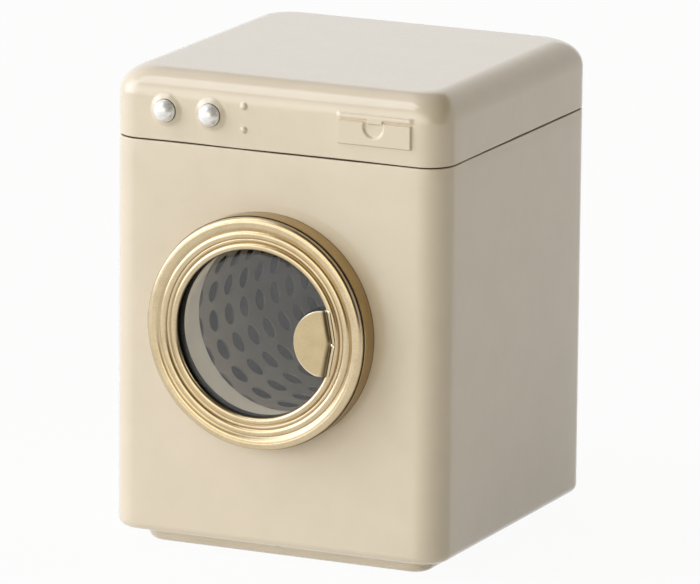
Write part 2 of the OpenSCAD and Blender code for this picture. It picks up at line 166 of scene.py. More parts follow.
def lathe(profile, count, centre, forward=True):
    # a profile of (radius, height) turned about an axis along y: x and z are the centre plus radius times
    # cos(a) and sin(a), and y is the centre less the height, or plus the height if not forward
    cx, y0, cz = centre
    a = 2 * np.pi * np.arange(count) / count
    r, h = profile[:, 0][:, None], profile[:, 1][:, None]
    x = cx + r * np.cos(a)[None, :]
    z = cz + r * np.sin(a)[None, :]
    y = y0 + (-h if forward else h) + 0 * a[None, :]
    return np.stack([x, y, z], -1)


def roundLoop(stops):
    # one turn round a rectangle with round corners, starting at the front left; gives, for each point,
    # the share of the straight run reached in x and in y, and the outward normal
    hx, hy, nx, ny = [], [], [], []
    plain = np.linspace(-1, 1, 13)
    a = np.radians(np.linspace(0, 90, 16)[1:-1])
    sides = ((1, 0), (0, 1), (-1, 0), (0, -1))
    for along, (c, d) in zip((np.asarray(stops), plain, plain, plain), sides):
        hx += [along * c + d, np.full(len(a), float(c + d))]
        hy += [along * d - c, np.full(len(a), float(d - c))]
        nx += [np.full(len(along), float(d)), d * np.cos(a) + c * np.sin(a)]
        ny += [np.full(len(along), float(-c)), -c * np.cos(a) + d * np.sin(a)]
    return [np.concatenate(v) for v in (hx, hy, nx, ny)]


def asRows(profile, cornerR, grow=-1.0, shrink=1.0):
    # a profile of (inset, height) as rows for carry; the corner's radius is cornerR + grow * inset
    inset, z = profile[:, 0], profile[:, 1]
    radius = np.maximum(cornerR + grow * inset, 0.3)
    return np.stack([inset, z, radius, np.full(len(z), float(shrink))], -1)


def flatRows(inset, z, cornerR, grow, shares):
    # rows of one flat outline, shrunk about the middle to each of the shares
    return np.concatenate([asRows(np.array([[inset, z]]), cornerR, grow, share) for share in shares])


def carry(loop, rows, width, depth):
    # carries rows of (inset, height, corner radius, shrink) round the loop: each point is the loop's share
    # of the half width or depth, less inset and radius, plus the radius along the outward normal
    hx, hy, nx, ny = [v[None, :] for v in loop]
    inset, z, radius, shrink = [rows[:, k][:, None] for k in range(4)]
    x = (hx * (width / 2 - inset - radius) + radius * nx) * shrink
    y = (hy * (depth / 2 - inset - radius) + radius * ny) * shrink
    return np.stack([x, y, z + 0 * x], -1)


# materials
class Wire:
    # an output socket; adding, taking away and multiplying put Math nodes into the tree
    def __init__(self, tree, socket):
        self.tree, self.socket = tree, socket

    def maths(self, operation, other=0.0, otherFirst=False):
        made = self.tree.nodes.new("ShaderNodeMath")
        made.operation = operation
        pair = (other, self) if otherFirst else (self, other)
        for socket, value in zip(made.inputs, pair):
            if isinstance(value, Wire):
                self.tree.links.new(value.socket, socket)
            else:
                socket.default_value = value
        return Wire(self.tree, made.outputs[0])

    def __add__(self, other):
        return self.maths("ADD", other)

    def __sub__(self, other):
        return self.maths("SUBTRACT", other)

    def __rsub__(self, other):
        return self.maths("SUBTRACT", other, otherFirst=True)

    def __mul__(self, other):
        return self.maths("MULTIPLY", other)

    def __abs__(self):
        return self.maths("ABSOLUTE")

    def larger(self, other):
        return self.maths("MAXIMUM", other)

    __radd__, __rmul__ = __add__, __mul__


class Graph:
    # a node tree with one method that adds any node; it takes settings, socket values and links
    def __init__(self, tree):
        self.tree = tree

    def node(self, kind, settings=None, inputs=None, out=0):
        made = self.tree.nodes.new(kind)
        for label, value in (settings or {}).items():
            setattr(made, label, value)
        for label, value in (inputs or {}).items():
            if isinstance(value, Wire):
                self.tree.links.new(value.socket, made.inputs[label])
            else:
                made.inputs[label].default_value = value
        return Wire(self.tree, made.outputs[out])

    def blend(self, mask, first, second):
        # a colour that goes from first to second as the mask goes from 0 to 1, through sockets 6 and 7
        values = {0: mask, 6: first, 7: second}
        return self.node("ShaderNodeMix", {"data_type": "RGBA"}, values, out=2)

    def remap(self, value, low, high, toLow=0.0, toHigh=1.0, kind="LINEAR"):
        values = {"Value": value, 1: low, 2: high, 3: toLow, 4: toHigh}
        return self.node("ShaderNodeMapRange", {"interpolation_type": kind}, values)

    def step(self, value, low, high, toLow=0.0, toHigh=1.0):
        # as remap, along an S-shaped curve
        return self.remap(value, low, high, toLow, toHigh, "SMOOTHSTEP")

    def vector(self, operation, inputs, out=0):
        return self.node("ShaderNodeVectorMath", {"operation": operation}, inputs, out)

    def split(self, vector, axis):
        return self.node("ShaderNodeSeparateXYZ", None, {0: vector}, axis)

    def join(self, wire, node, label):
        self.tree.links.new(wire.socket, self.tree.nodes[node].inputs[label])


class Finish(Graph):
    # one material with its Principled shader, whose textures read the piece's own coordinates
    def __init__(self, name, **fixed):
        self.material = bpy.data.materials.new(name)
        self.material.use_nodes = True
        super().__init__(self.material.node_tree)
        self.shader = self.tree.nodes["Principled BSDF"]
        for label, value in fixed.items():
            self.shader.inputs[label.replace("_", " ")].default_value = value
        self.place = self.node("ShaderNodeTexCoord", out="Object")

    def noise(self, size, detail, rough, stretch=(1, 1, 1)):
        # noise whose lumps are about size millimetres wide
        turned = self.node("ShaderNodeMapping", None, {"Vector": self.place, "Scale": stretch})
        values = {"Vector": turned, "Scale": 1 / (size * mm), "Detail": detail, "Roughness": rough}
        return self.node("ShaderNodeTexNoise", {"noise_dimensions": "3D"}, values)

    def spread(self, noise, low=0.0, high=1.0):
        # noise mostly lies between 0.3 and 0.7, and this takes it from low to high
        return self.remap(noise, 0.3, 0.7, low, high)

    def part(self, axis):
        return self.split(self.place, axis)

    def fromAxis(self, x, z):
        # distance in metres from a line along y through x and z, given in millimetres
        away = self.vector("SUBTRACT", {0: self.place, 1: (x * mm, 0, z * mm)})
        flat = self.vector("MULTIPLY", {0: away, 1: (1, 0, 1)})
        return self.vector("LENGTH", {0: flat}, "Value")

    def feed(self, label, value):
        self.join(value, "Principled BSDF", label)

    def bump(self, height, distance, strength, under=None):
        # a bump whose full height is distance millimetres
        values = {"Height": height, "Distance": distance * mm, "Strength": strength}
        if under is not None:
            values["Normal"] = under
        return self.node("ShaderNodeBump", None, values)


def srgb(red, green, blue, alpha=1.0):
    # a colour of 0 to 255 as the shader's linear values
    v = np.array([red, green, blue]) / 255
    linear = np.where(v <= 0.04045, v / 12.92, ((v + 0.055) / 1.055) ** 2.4)
    return (*[float(c) for c in linear], alpha)


# sizes of the patterns are in millimetres, and colours go from 0 to 255
paintSet = {"deep": (222, 209, 185), "pale": (225, 212, 188), "waves": 26, "peel": 1.1, "tone": 11,
            "rough": (0.30, 0.38), "waveH": 0.03, "peelH": 0.002}


def creamPaint():
    # glossy stoved enamel on tin: slow waves in the sheet, faint orange peel, soft shifts of tone
    s = paintSet
    f = Finish("creamPaint", IOR=1.5, Coat_Weight=1.0, Coat_IOR=1.5, Coat_Roughness=0.07)
    waves = f.noise(s["waves"], 1.0, 0.4)
    peel = f.noise(s["peel"], 2.0, 0.5)
    tone = f.noise(s["tone"], 3.0, 0.55)
    f.feed("Base Color", f.blend(f.remap(tone, 0.35, 0.65), srgb(*s["deep"]), srgb(*s["pale"])))
    f.feed("Roughness", f.spread(peel, *s["rough"]))
    f.feed("Normal", f.bump(peel, s["peelH"], 0.5, f.bump(waves, s["waveH"], 0.5)))
    return f.material


# the dark brown colour is painted shade, and the near white one is painted highlight
goldSet = {"pale": (219, 201, 168), "deep": (194, 174, 137), "paintedShade": (78, 65, 42),
           "glint": (255, 246, 222), "grain": 0.28, "cloud": 3.2, "grainH": 0.005, "rough": (0.28, 0.32),
           # the point beside the door's axis moves the outline's painted shade onto the ring's left side
           "outlineShadeShift": (1.0, -0.1)}

# what the gold's lines of painted shade and painted highlight are measured by: the radius round the door's
# axis and round a point beside it, the place along y, and, by gripSet's sizes, the place across the handle's
# strip and the radius round the grip
goldMeasures = {
    "ring": lambda f: f.fromAxis(doorX, doorZ),
    "rim": lambda f: f.fromAxis(doorX + goldSet["outlineShadeShift"][0], doorZ + goldSet["outlineShadeShift"][1]),
    "along": lambda f: f.part("Y"),
    "strip": lambda f: f.part("X") - doorX * mm + abs(f.part("Z") - doorZ * mm) * gripSet["lean"],
    "grip": lambda f: f.fromAxis(doorX + gripSet["foldX"], doorZ - gripSet["drop"]),
}


def goldLacquer(name, pale=goldSet["pale"], deep=goldSet["deep"], paintedShade=(), glints=()):
    # satin champagne gold over pressed tin with fine metal grain; dark brown painted shade and bright
    # painted highlights lie along lines, each a measure from goldMeasures, its value in mm, the half width
    # in mm and the strength
    s = goldSet
    f = Finish(name, Metallic=1.0)
    grain = f.noise(s["grain"], 2.0, 0.6)
    cloud = f.noise(s["cloud"], 2.0, 0.5)
    speck = f.spread(grain) * 0.7 + f.spread(cloud) * 0.3
    tone = f.blend(speck, srgb(*deep), srgb(*pale))
    for lines, colour in ((paintedShade, s["paintedShade"]), (glints, s["glint"])):
        if not lines:
            continue
        mask = speck * 0
        for measure, at, halfWide, strength in lines:
            away = abs(goldMeasures[measure](f) - at * mm)
            mask = mask.larger(f.step(away, 0.0, halfWide * mm, strength, 0.0))
        tone = f.blend(mask * f.remap(cloud, 0.25, 0.6, 0.8, 1.0), tone, srgb(*colour))
    f.feed("Base Color", tone)
    f.feed("Roughness", f.spread(cloud, *s["rough"]))
    f.feed("Normal", f.bump(grain, s["grainH"], 0.6))
    return f.material


chromeSet = {"pale": (252, 252, 250), "deep": (232, 231, 227), "cloud": 0.8, "dents": 1.3, "dentH": 0.09,
             "rough": (0.22, 0.34)}


def chromePlate():
    # bright thin plating, a little crumpled like foil
    s = chromeSet
    f = Finish("chromePlate", Metallic=0.35)
    cloud = f.noise(s["cloud"], 3.0, 0.6)
    f.feed("Base Color", f.blend(f.remap(cloud, 0.35, 0.7), srgb(*s["pale"]), srgb(*s["deep"])))
    f.feed("Roughness", f.spread(cloud, *s["rough"]))
    f.feed("Normal", f.bump(f.noise(s["dents"], 2.0, 0.5), s["dentH"], 0.8))
    return f.material


def bareTin(name, pale, deep, rough, metallic=1.0, size=1.2):
    # rolled metal: brushed lines along z, and soft stains about four times size wide
    f = Finish(name, Metallic=metallic)
    brush = f.noise(size * 0.3, 3.0, 0.6, (1, 1, 0.12))
    stain = f.noise(size * 4, 3.0, 0.6)
    mask = f.spread(stain) * 0.7 + f.spread(brush) * 0.3
    f.feed("Base Color", f.blend(mask, srgb(*deep), srgb(*pale)))
    f.feed("Roughness", f.spread(stain, rough, rough + 0.12))
    f.feed("Normal", f.bump(brush, 0.004, 0.4))
    return f.material


def blackPlastic(name, tone, rough):
    # satin moulding with a fine grain
    f = Finish(name, IOR=1.48)
    grain = f.noise(0.4, 2.0, 0.5)
    f.feed("Base Color", f.blend(f.spread(grain), srgb(*tone), srgb(*[v + 8 for v in tone])))
    f.feed("Roughness", f.spread(grain, rough, rough + 0.12))
    f.feed("Normal", f.bump(grain, 0.01, 0.4))
    return f.material


# the film's opacity, its middle beside the door's axis, and the radii between which it fades to leftOver
filmSet = {"pale": (139, 141, 141), "deep": (132, 135, 137), "smear": 5, "rough": (0.04, 0.1),
           "opacity": (0.20, 0.24), "shift": (0.75, -0.7), "fade": (19.7, 20.8), "leftOver": 0.05}


def clearWindow():
    # thin clear sheet with a grey film, faint wiping marks, and a clean strip at the left past the film
    s = filmSet
    f = Finish("clearWindow", IOR=1.49)
    smear = f.noise(s["smear"], 2.0, 0.6, (1, 1, 0.3))
    f.feed("Base Color", f.blend(smear, srgb(*s["deep"]), srgb(*s["pale"])))
    f.feed("Roughness", f.spread(smear, *s["rough"]))
    reach = f.fromAxis(doorX + s["shift"][0], doorZ + s["shift"][1])
    low, high = s["fade"]
    f.feed("Alpha", f.spread(smear, *s["opacity"]) * f.step(reach, low * mm, high * mm, 1.0, s["leftOver"]))
    return f.material


# one finish for each slot; bare tin takes pale and deep colours, roughness, metallic share and pattern size
finishes = {
    "cream_paint": creamPaint(),
    "gold_lacquer": goldLacquer("goldLacquer"),
    "pale_steel": bareTin("paleTin", (246, 240, 226), (232, 226, 212), 0.35, 0.0, 2.0),
    "dark_steel": bareTin("darkTin", (78, 62, 42), (48, 38, 26), 0.5, 0.4),
    "steel": bareTin("steel", (190, 190, 188), (150, 150, 148), 0.3),
    "drum_steel": bareTin("drumTin", (178, 170, 157), (154, 148, 137), 0.4, 0.2, 2.5),
    "bush_brass": bareTin("bushBrass", (214, 184, 112), (176, 146, 82), 0.3),
    "chrome": chromePlate(),
    "black_rubber": blackPlastic("blackRubber", (16, 16, 16), 0.55),
    # near-black; on the window's retainer this is painted shade, standing for the ring's inner wall in shade
    "black_plastic": blackPlastic("blackPlastic", (14, 14, 14), 0.35),
    "clear_window": clearWindow(),
}
print("materials ready")

# cover: the walls and the rounded top, with the panel stamped in its front
coverSet = {
    "cornerR": 7.3,
    "cornerGrow": -0.12,
    "edgeR": 6.9,
    "footR": 0.22,
    "seamWander": 0.07,
    "wanderSeed": 4,
    # raised seats of the knobs: radius of the top and of the foot, and height
    "bossR": (2.7, 4.4),
    "bossH": 0.8,
    "dotR": 0.95,
    "dotH": 0.7,
    "dots": ((-8.4, 113.4), (-8.4, 107.6)),
    # left, right, low and high edge of the drawer's front and of the band over it
    "drawer": (17.0, 36.1, 107.1, 112.6),
    "drawerH": 0.75,
    "edgeW": 0.3,
    "band": (16.3, 37.3, 113.45, 114.25),
    "bandH": 0.6,
    "bandEdgeW": 0.4,
    "bandEnds": (1.2, 1.6),
    # left, right and low edge of the tab under the band
    "tab": (24.8, 28.6, 112.5),
    # middle and radius of the finger hollow, the width of its slope and the share it takes away
    "recess": (26.4, 111.6, 3.0),
    "recessEdgeW": 0.75,
    "recessShare": 0.9,
    "bendSteps": 46,
    "wallSteps": 74,
}
wanderReach = 1.5


def wander(loop, size, seed):
    # a slow uneven line along the loop: five sine waves over x and y, each weaker than the one before it
    x, y = loop[0] * bodyWidth / 2, loop[1] * bodyDepth / 2
    total = 0
    for k, (a, b, c) in enumerate(np.random.default_rng(seed).uniform(-1, 1, (5, 3))):
        total = total + np.sin((0.07 + 0.06 * k) * (a * x + b * y) * 2 + 6 * c) / (k + 1)
    return size * total / 1.6


def unevenEdge(points, loop, away, settings):
    # moves each point up by the wander times a share, which falls from 1 at the seam to 0 wanderReach away
    near = smooth((wanderReach - away) / wanderReach)
    points[..., 2] += near * wander(loop, settings["seamWander"], settings["wanderSeed"])[None, :]


def plateau(value, low, high, soft):
    # 1 between low and high, falling to 0 over soft outside
    return smooth((value - low) / soft + 1) * smooth((high - value) / soft + 1)


def panelRelief(x, z):
    # height over the panel at each x and z: the highest of the bosses, dots, drawer front, band and tab
    s = coverSet
    high = 0 * x
    topR, footR = s["bossR"]
    for middle in knobMiddles:
        reach = np.hypot(x - middle[0], z - middle[2])
        high = np.maximum(high, s["bossH"] * smooth((footR - reach) / (footR - topR)))
    for dotX, dotZ in s["dots"]:
        reach = np.hypot(x - dotX, z - dotZ) / s["dotR"]
        high = np.maximum(high, s["dotH"] * np.clip(1 - reach**2, 0, 1) ** 0.8)
    left, right, low, top = s["drawer"]
    front = plateau(x, left, right, s["edgeW"]) * plateau(z, low, top, s["edgeW"]) * s["drawerH"]
    hollowX, hollowZ, hollowR = s["recess"]
    hollow = smooth((hollowR - np.hypot(x - hollowX, z - hollowZ)) / s["recessEdgeW"])
    front = front * (1 - s["recessShare"] * hollow)
    left, right, bandLow, bandTop = s["band"]
    ends = smooth((x - left) / s["bandEnds"][0]) * smooth((right - x) / s["bandEnds"][1])
    band = ends * plateau(z, bandLow, bandTop, s["bandEdgeW"]) * s["bandH"]
    left, right, low = s["tab"]
    tab = plateau(x, left, right, s["edgeW"]) * plateau(z, low, bandLow, s["edgeW"]) * s["bandH"]
    return np.maximum(high, np.maximum(front, np.maximum(band, tab)))


def panelStops(reach):
    # places along the front for the grid's columns, from -1 to 1: 1 mm apart, and close together where
    # something is stamped; each stretch is its start, its end and its step
    s = coverSet
    dotX, bossReach = s["dots"][0][0], s["bossR"][1] + 0.5
    drawerLeft, drawerRight = s["drawer"][0] + 0.6, s["drawer"][1] - 0.6
    tabLeft, tabRight = s["tab"][0] - 1.6, s["tab"][1] + 1.6
    stretches = [(middle[0] - bossReach, middle[0] + bossReach, 0.16) for middle in knobMiddles]
    stretches += [
        (dotX - 1.5, dotX + 1.5, 0.11),
        (s["band"][0] - 0.2, drawerLeft, 0.1),
        (drawerLeft, tabLeft, 0.4),
        (tabLeft, tabRight, 0.12),
        (tabRight, drawerRight, 0.4),
        (drawerRight, s["band"][1] + 0.3, 0.1),
        (-reach, reach, 1.0),
    ]
    places = [np.arange(*stretch) for stretch in stretches] + [[reach, -reach]]
    xs = np.unique(np.round(np.concatenate(places), 3))
    xs = xs[np.concatenate([[True], np.diff(xs) > 0.045])]
    xs[-1] = reach
    return xs / reach


def topCover():
    # rows of (inset, height) carried round the cover: out from the middle of the top, a quarter circle over
    # the edge, down the wall and round its lip, and back inside; the front moves out by the stamped relief
    s = coverSet
    top, foot, edge, lipR = coverHigh[2], coverLow[2], s["edgeR"], s["footR"]
    cornerR, grow = s["cornerR"], s["cornerGrow"]
    outside = np.concatenate([
        arc(edge, top - edge, edge, 90, 180, s["bendSteps"]),
        line((0, top - edge - 0.12), (0, foot + lipR), s["wallSteps"]),
        arc(lipR, foot + lipR, lipR, 180, 270, 5)[1:],
    ])
    inside = np.concatenate([
        line((sheet, foot), (sheet, top - edge), 8),
        arc(edge, top - edge, edge - sheet, 180, 90, 12)[1:],
    ])
    lid = flatRows(edge, top, cornerR, grow, (middleShare, 0.25, 0.5, 0.75, 0.92))
    ceiling = flatRows(edge, top - sheet, cornerR, grow, (0.7, 0.35, middleShare))
    rows = np.concatenate([lid, asRows(outside, cornerR, grow), asRows(inside, cornerR, grow), ceiling])
    loop = roundLoop(panelStops(bodyWidth / 2 - cornerR))
    points = carry(loop, rows, bodyWidth, bodyDepth)
    isOutside = np.arange(len(rows)) < len(lid) + len(outside)
    isFront = (loop[3] == -1)[None, :] * isOutside[:, None]
    points[..., 1] -= np.where(isFront, panelRelief(points[..., 0], points[..., 2]), 0)
    unevenEdge(points, loop, points[..., 2] - foot, s)
    faces = gridFaces(len(rows), len(loop[0]), wrapColumns=True)
    return makePiece("topCover", "top_cover", "cover", "cream_paint", points, faces, 50)


topCover()
print("cover ready")

# cabinet walls with their curled foot and the round opening behind the collar
shellSet = {"cornerR": 7.3, "curlR": 2.3, "topR": 0.22, "openingInset": 6.0, "holeR": 23.3,
            "seamWander": 0.06, "wanderSeed": 9, "wallSteps": 26, "frontStops": 27}
bareInside = bareTin("bareInside", (112, 109, 103), (84, 81, 76), 0.5, 0.6, 3.0)


def holePatch(points, columnEnd, rowStart, rowEnd):
    # fills a rectangle of the grid with rings: edge * (1 - t) + circle * t, from the rectangle's edge to a
    # circle round the door's axis
    block = points[rowStart:rowEnd + 1, :columnEnd + 1]
    edge = np.concatenate([block[0, :-1], block[:-1, -1], block[-1, :0:-1], block[:0:-1, 0]])
    angle = np.arctan2(edge[:, 2] - doorZ, edge[:, 0] - doorX)
    radius = shellSet["holeR"]
    circle = np.stack([doorX + radius * np.cos(angle), edge[:, 1], doorZ + radius * np.sin(angle)], -1)
    t = np.linspace(0, 1, 5)[:, None, None]
    return edge[None] * (1 - t) + circle[None] * t


def bodyShell():
    # rows of (inset, height) carried round the cabinet as one closed profile: under the foot, round the
    # curl, up the outside, over the seam edge and down inside; both walls are cut open for the porthole
    s = shellSet
    foot, top, curl, topR = shellLow[2], shellHigh[2], s["curlR"], s["topR"]
    underFoot = np.concatenate([[[s["openingInset"], foot]], arc(curl, foot + curl, curl, 270, 180, 12)])
    wall = line((0, foot + curl), (0, top - topR), s["wallSteps"])[1:]
    topBend = arc(topR, top - topR, topR, 180, 90, 5)[1:]
    inner = line((sheet, top), (sheet, foot + curl), s["wallSteps"])
    innerCurl = arc(curl, foot + curl, curl - sheet, 180, 270, 8)[1:]
    overFoot = [[s["openingInset"], foot + sheet]]
    rows = asRows(np.concatenate([underFoot, wall, topBend, inner, innerCurl, overFoot]), s["cornerR"])
    loop = roundLoop(np.linspace(-1, 1, s["frontStops"]))
    points = carry(loop, rows, bodyWidth, bodyDepth)
    unevenEdge(points, loop, top - points[..., 2], s)

    # faces of the front's two walls make way for patches that run from the cut's edge to the hole
    columns, lastStop = len(loop[0]), s["frontStops"] - 1
    faces = gridFaces(len(rows), columns, True, True)
    row, column = np.arange(len(faces)) // columns, np.arange(len(faces)) % columns
    wallStart = len(underFoot) - 1
    wallEnd = wallStart + len(wall)
    innerStart = wallEnd + len(topBend) + 1
    innerEnd = innerStart + len(inner) - 1
    cut = (row >= wallStart) & (row < wallEnd) | (row >= innerStart) & (row < innerEnd)
    cut = cut & (column < lastStop)
    patches = [holePatch(points, lastStop, *span) for span in ((wallStart, wallEnd), (innerStart, innerEnd))]
    ends = [patch[-1] for patch in patches]
    ends = [end[np.argsort(np.arctan2(end[:, 2] - doorZ, end[:, 0] - doorX))] for end in ends]
    allPoints, allFaces, bare = [points.reshape(-1, 3)], [faces[~cut]], [(row >= innerStart)[~cut]]
    for part, isBare in ((patches[0], False), (patches[1], True), (np.stack(ends), False)):
        start = sum(len(some) for some in allPoints)
        allFaces.append(gridFaces(part.shape[0], part.shape[1], wrapColumns=True) + start)
        allPoints.append(part.reshape(-1, 3))
        bare.append(np.full(len(allFaces[-1]), isBare))
    points, faces, bare = [np.concatenate(some) for some in (allPoints, allFaces, bare)]
    return makePiece("bodyShell", "body_shell", "cabinet", "cream_paint", points, faces, 50,
                     second=(bareInside, bare))


bodyShell()

# plinth
panSet = {"cornerR": 5.3, "curlR": 2.3, "flange": 3.2}


def basePan():
    # rows of (inset, height) carried round the plinth: floor, curled edge, wall and flange outside, then
    # back along the inside to the middle of the floor
    s = panSet
    low, high = nodeBox("base_pan")
    flange, curl, cornerR, top = s["flange"], s["curlR"], s["cornerR"], high[2]
    outside = np.concatenate([
        arc(curl, curl, curl, 270, 180, 12),
        line((0, curl + 0.3), (0, top - sheet), 4),
        [[-flange, top - sheet], [-flange, top]],
    ])
    inside = np.concatenate([
        [[sheet, top]],
        line((sheet, top - 0.4), (sheet, curl), 3),
        arc(curl, curl, curl - sheet, 180, 270, 8)[1:],
    ])
    floor = flatRows(curl, 0.0, cornerR, -1.0, (middleShare, 0.5, 0.95))
    floorInside = flatRows(curl, sheet, cornerR, -1.0, (0.9, 0.5, middleShare))
    rows = np.concatenate([floor, asRows(outside, cornerR), asRows(inside, cornerR), floorInside])
    loop = roundLoop(np.linspace(-1, 1, 13))
    points = carry(loop, rows, high[0] - low[0] - 2 * flange, high[1] - low[1] - 2 * flange)
    faces = gridFaces(len(rows), len(loop[0]), wrapColumns=True)
    return makePiece("basePan", "base_pan", "cabinet", "cream_paint", points, faces, 50)


basePan()
print("cabinet ready")

# door ring; a bead or the ridge is its middle's radius, half width, depth and two angles in degrees, and the
# shoulder the same with bandIn as the radius
ringSet = {
    "windowR": 20.8,
    "rimR": 1.05,
    "rimDrop": 0.05,
    "bandIn": 27.2,
    "shoulder": (1.0, 0.4, 95, 163),
    "outerBead": (24.65, 1.05, 0.9, 22, 166),
    "ridge": (23.3, 0.36, 0.16, 10, 170),
    "ridgeDrop": 0.5,
    "innerBead": (21.75, 0.95, 0.95, 14, 176),
    "rebate": 0.8,
    "pocketR": 22.0,
    "sealIn": 26.9,
    "sealDeep": 0.3,
    "turns": 192,
    # painted shade: the valleys between the waves, the inner edge, the gap at the back and the outline,
    # heavier on the left
    "paintedShade": (("ring", 25.95, 0.35, 0.2), ("ring", 23.75, 0.22, 0.3), ("ring", 22.8, 0.24, 0.4),
                ("ring", 20.7, 0.5, 0.9), ("along", -50.35, 0.6, 0.6), ("rim", 30.15, 0.8, 1.0)),
}


def doorRing():
    # turned profile of (radius, height): rim, shallow crowned band, two rounded waves of elliptical section
    # with a ridge between them, and rebates behind for the seals
    s = ringSet
    thick = ringBackY - ringLow[1]
    rim, face, deep = s["rimR"], thick - s["rimDrop"], s["sealDeep"]
    bandR = np.linspace(ringR - rim, s["bandIn"], 12)
    crown = s["rimDrop"] * np.sin(np.pi * (bandR - s["bandIn"]) / (ringR - rim - s["bandIn"]))
    profile = np.concatenate([
        [[ringR - 0.05, deep], [ringR, deep + 0.1]],
        arc(ringR - rim, face - rim, rim, 0, 84, 12),
        np.stack([bandR, face + crown], -1)[1:],
        ellipse((s["bandIn"], *s["shoulder"]), face, 10),
        ellipse(s["outerBead"], thick, 26),
        ellipse(s["ridge"], thick - s["ridgeDrop"], 10),
        ellipse(s["innerBead"], thick, 30),
        [[s["windowR"], s["rebate"] + 0.1], [s["windowR"] + 0.06, s["rebate"]]],
        [[s["pocketR"], s["rebate"]], [s["pocketR"], 0.0], [s["sealIn"], 0.0], [s["sealIn"], deep]],
    ])
    points = lathe(profile, s["turns"], (doorX, ringBackY, doorZ))
    faces = gridFaces(len(profile), s["turns"], True, True)
    finish = goldLacquer("ringGold", paintedShade=s["paintedShade"])
    return makePiece("doorRing", "door_ring", "door", "gold_lacquer", points, faces, 42, finish)


# fixed collar round the porthole
# the collar's colours are a darker copy of the gold, painted shade on its side; its two lines are painted
# shade where it meets the panel and in the gap to the door ring
collarSet = {"edgeR": 0.5, "notchReach": 3.9, "notchHalf": 6.45, "boreR": 23.2,
             "pale": (192, 168, 124), "deep": (168, 143, 100),
             "paintedShade": (("along", -44.75, 0.6, 0.9), ("along", -50.2, 0.5, 0.5))}


def doorCollar():
    # a plain deep ring with a rounded front edge; its outer radius is the door ring's, and on the left it
    # is a straight line, (ringR - notchReach) / cos(a), that leaves room for the hinge
    s = collarSet
    deep, edgeR = frontY - nodeBox("door_collar")[0][1], s["edgeR"]
    profile = np.concatenate([
        [[1.0, 0.0]],
        line((1.0, 0.05), (1.0, deep - edgeR), 4),
        line((1.0, deep - edgeR), (1.0, deep), 5)[1:],
        [[0.0, deep], [0.0, 0.0]],
    ])
    isOuter, height = profile[:, 0][:, None] > 0.5, profile[:, 1]
    half, step = math.asin(s["notchHalf"] / ringR), 1e-4
    a = np.concatenate([
        np.linspace(-math.pi + half, math.pi - half, 170),
        [math.pi - half + step],
        np.linspace(math.pi - half * 0.9, math.pi + half * 0.9, 12),
        [math.pi + half - step],
    ])
    inNotch = (a > math.pi - half + step / 2) & (a < math.pi + half - step / 2)
    outer = np.where(inNotch, (ringR - s["notchReach"]) / np.abs(np.cos(a)), ringR)
    inEdge = np.clip((height - deep + edgeR) / edgeR, 0, 1)
    roundIn = edgeR * (1 - np.sqrt(1 - inEdge**2))
    r = np.where(isOuter, outer[None, :] - roundIn[:, None], s["boreR"])
    x = doorX + r * np.cos(a)[None, :]
    z = doorZ + r * np.sin(a)[None, :]
    y = frontY - height[:, None] + 0 * x
    faces = gridFaces(len(profile), len(a), True, True)
    finish = goldLacquer("collarGold", s["pale"], s["deep"], s["paintedShade"])
    points = np.stack([x, y, z], -1)
    return makePiece("doorCollar", "door_collar", "cabinet", "gold_lacquer", points, faces, 42, finish)


# tube between door and drum
sleeveSet = {"innerR": 22.6, "wall": 0.55, "flangeR": 27.4, "flangeAt": 3.8, "turns": 144}


def mouthSleeve():
    # turned profile of (radius, height): a tube with a rounded rear lip and a flange behind the front wall
    s = sleeveSet
    low, high = nodeBox("mouth_sleeve")
    inR, outR, lipR = s["innerR"], s["innerR"] + s["wall"], s["wall"] / 2
    lipAt, flangeR, flangeAt = high[1] - low[1] - lipR, s["flangeR"], s["flangeAt"]
    profile = np.concatenate([
        line((inR, 0), (inR, lipAt), 8),
        arc((inR + outR) / 2, lipAt, lipR, 180, 0, 9)[1:],
        [[outR, flangeAt + sheet], [flangeR, flangeAt + sheet], [flangeR, flangeAt], [outR, flangeAt]],
        [[outR, 0]],
    ])
    points = lathe(profile, s["turns"], (doorX, low[1], doorZ), forward=False)
    faces = gridFaces(len(profile), s["turns"], True, True)
    return makePiece("mouthSleeve", "mouth_sleeve", "cabinet", "pale_steel", points, faces, 42)


# window
windowSet = {"crown": 0.12, "edge": 0.15, "bevel": 0.12, "frontBevel": 0.3, "turns": 96}


def doorWindow():
    # turned profile of (radius, height): a flat disc whose outside rises by crown * (1 - (radius / r) ** 2)
    s = windowSet
    low, high = nodeBox("door_glass")
    r, thick = (high[0] - low[0]) / 2, high[1] - low[1]
    radii = np.linspace(poleR, r - s["edge"], 10)
    profile = np.concatenate([
        np.stack([radii, thick - s["crown"] + s["crown"] * (1 - (radii / r) ** 2)], -1),
        [[r, thick - s["frontBevel"]], [r, s["bevel"]], [r - s["bevel"], 0.0], [poleR, 0.0]],
    ])
    points = lathe(profile, s["turns"], (doorX, high[1], doorZ))
    faces = gridFaces(len(profile), s["turns"], False, True)
    return makePiece("doorWindow", "door_glass", "door", "clear_window", points, faces, 30)


